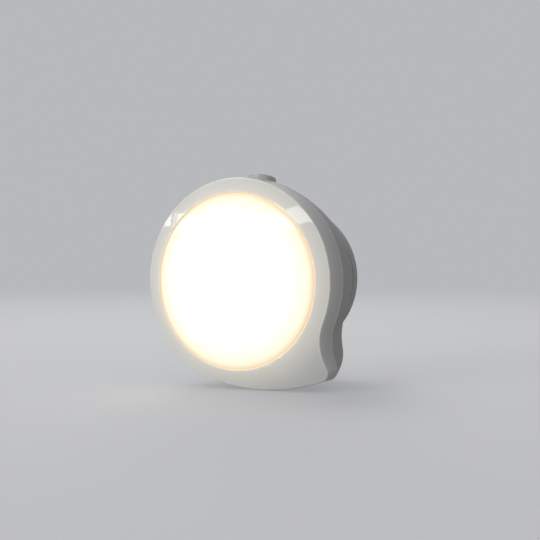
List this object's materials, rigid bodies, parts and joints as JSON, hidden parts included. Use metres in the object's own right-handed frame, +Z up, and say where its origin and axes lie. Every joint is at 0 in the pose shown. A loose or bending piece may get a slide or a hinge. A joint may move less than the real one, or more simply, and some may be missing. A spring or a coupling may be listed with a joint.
{
  "type": "plug-in night light",
  "caption": "Plug-in LED night light: domed opal window in a glossy comma-shaped shell, tapered rear housing with a push button on top, and a round plug base with sleeved pins.",
  "frame": {"origin": "centre of the plug base's wall face, midway between the pins", "axes": "+Z up, the light shines towards -Y, +Y into the socket, +X right seen from the front"},
  "size_m": [0.054, 0.0567, 0.0566],
  "materials": {
    "bezel_white": "polished off-white ABS",
    "housing_white": "satin off-white ABS",
    "button_white": "semi-gloss pale grey ABS",
    "diffuser_opal": "polished opal, lit from behind",
    "reflector_white": "matt white",
    "board_white": "white solder mask",
    "led_package": "phosphor in a white package",
    "screw_steel": "zinc plated",
    "switch_black": "moulded nylon",
    "tinned_lead": "tinned",
    "plunger_nylon": "natural nylon",
    "spring_steel": "drawn wire",
    "pin_brass": "nickel-plated brass",
    "sleeve_white": "satin insulating sleeve",
    "board_green": "green solder mask",
    "film_yellow": "epoxy-dipped box",
    "can_sleeve": "shrunk dark sleeve",
    "chip_black": "moulded epoxy",
    "resistor_blue": "lacquered"
  },
  "bodies": {
    "housing": {"front_shell": "bezel_white", "rear_housing": "housing_white", "plug_base": "housing_white", "diffuser": "diffuser_opal", "reflector": "reflector_white", "led_board": "board_white", "led_chips": "led_package", "board_screws": "screw_steel", "plug_base_screws": "screw_steel", "switch_body": "switch_black", "switch_terminals": "tinned_lead", "return_spring": "spring_steel", "plug_pin_left": "pin_brass", "plug_pin_right": "pin_brass", "pin_sleeve_left": "sleeve_white", "pin_sleeve_right": "sleeve_white", "driver_board": "board_green", "film_capacitor": "film_yellow", "smoothing_capacitor": "can_sleeve", "bridge_rectifier": "chip_black", "fusible_resistor": "resistor_blue", "driver_chip": "chip_black", "link_header": "switch_black", "link_pins": "tinned_lead"},
    "button": {"button_cap": "button_white", "switch_plunger": "plunger_nylon"}
  },
  "joints": [
    {"name": "button_press", "type": "slide", "parent": "housing", "child": "button", "axis": [0, 0, -1], "range_m": [0, 0.0015], "stiffness_N_per_m": 800, "deforming": ["return_spring"]}
  ]
}
